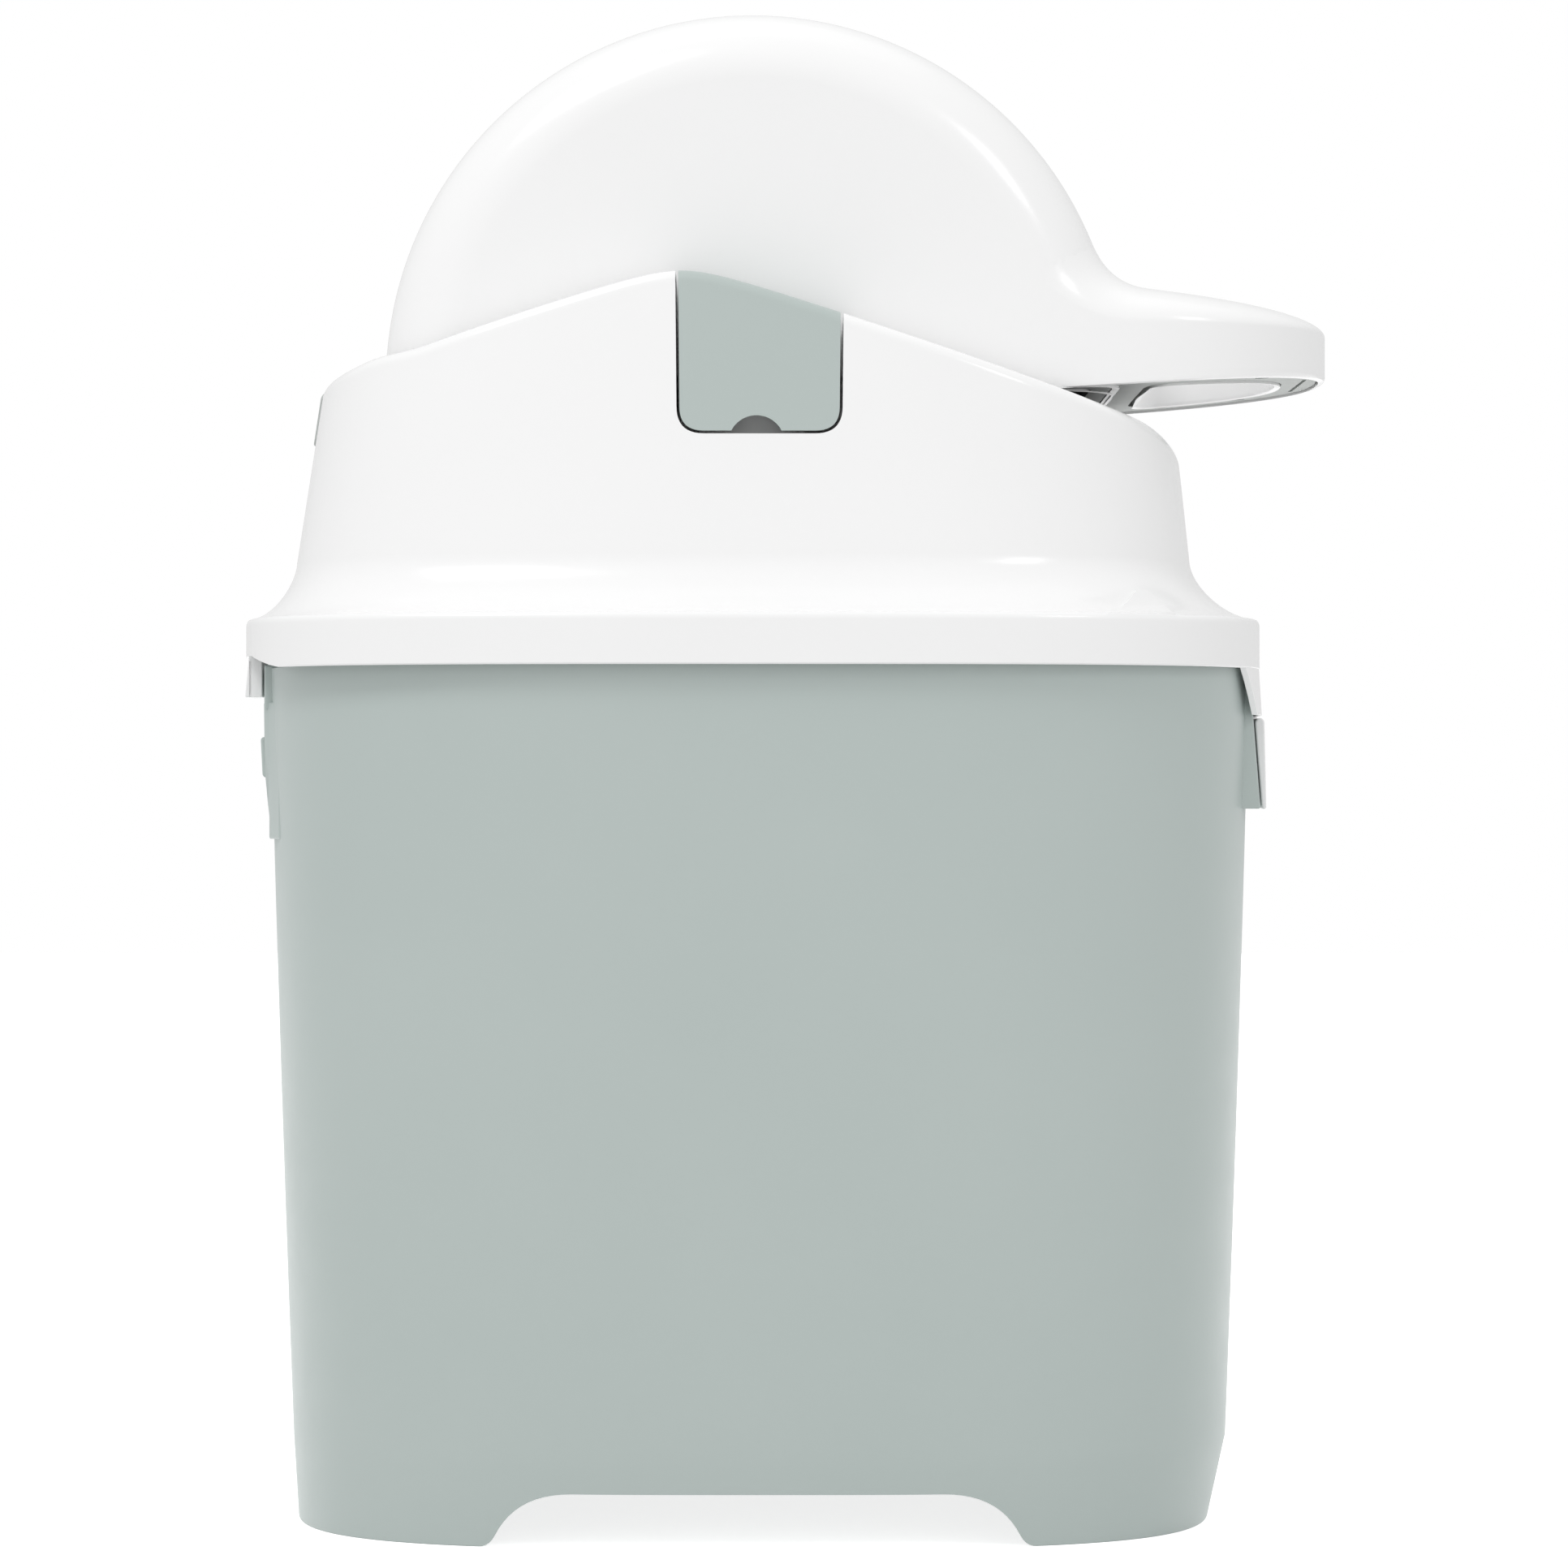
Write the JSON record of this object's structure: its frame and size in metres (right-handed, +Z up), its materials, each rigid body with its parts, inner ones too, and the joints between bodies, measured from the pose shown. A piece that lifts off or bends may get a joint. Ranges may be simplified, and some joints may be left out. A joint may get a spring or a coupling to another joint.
{
  "type": "nappy bin",
  "caption": "Nappy bin with a tapered bucket, a hinged lid, a half drum that flips over by its loop handle, and a front latch flap.",
  "frame": {"origin": "centre of the bounding box's base, on the floor", "axes": "+X towards the loop handle and the latch flap, +Z up"},
  "size_m": [0.3828, 0.28, 0.5246],
  "materials": {
    "white_gloss": "glossy moulded",
    "sage_gloss": "satin gloss moulded",
    "lining_grey": "satin moulded",
    "pale_acetal": "smooth moulded",
    "soft_grey": "matt",
    "soft_pale": "matt",
    "steel": "satin"
  },
  "bodies": {
    "bucket": {"bucket": "sage_gloss", "bag_ring": "lining_grey"},
    "lid": {"lid_shell": "white_gloss", "lid_gasket": "soft_grey", "drum_seal": "soft_grey", "rear_bumper": "soft_pale", "bearing_bush_left": "pale_acetal", "bearing_bush_right": "pale_acetal", "hinge_pin_left": "steel", "hinge_pin_right": "steel", "latch_pin": "steel"},
    "drum": {"drum_shell": "white_gloss", "drum_liner": "lining_grey", "handle_cover": "lining_grey", "cover_screw_1": "steel", "cover_screw_2": "steel", "cover_screw_3": "steel", "cover_screw_4": "steel", "trunnion_left": "pale_acetal", "trunnion_right": "pale_acetal", "trunnion_screw_rear_left": "steel", "trunnion_screw_rear_right": "steel", "trunnion_screw_front_left": "steel", "trunnion_screw_front_right": "steel"},
    "latch_flap": {"latch_flap": "white_gloss"},
    "keeper_left": {"keeper_left": "sage_gloss"},
    "keeper_right": {"keeper_right": "sage_gloss"}
  },
  "joints": [
    {"name": "lid_hinge", "type": "hinge", "parent": "bucket", "child": "lid", "pos_m": [-0.1872, 0, 0.2907], "axis": [0, -1, 0], "range_deg": [0, 95]},
    {"name": "drum_flip", "type": "hinge", "parent": "lid", "child": "drum", "pos_m": [-0.0126, 0, 0.3969], "axis": [0, -1, 0], "range_deg": [0, 155]},
    {"name": "latch_hinge", "type": "hinge", "parent": "lid", "child": "latch_flap", "pos_m": [0.1655, 0, 0.2786], "axis": [0, -1, 0], "range_deg": [0, 35]},
    {"name": "keeper_left_slide", "type": "slide", "parent": "lid", "child": "keeper_left", "axis": [0, 0, 1], "range_m": [0, 0.06]},
    {"name": "keeper_right_slide", "type": "slide", "parent": "lid", "child": "keeper_right", "axis": [0, 0, 1], "range_m": [0, 0.06]}
  ]
}
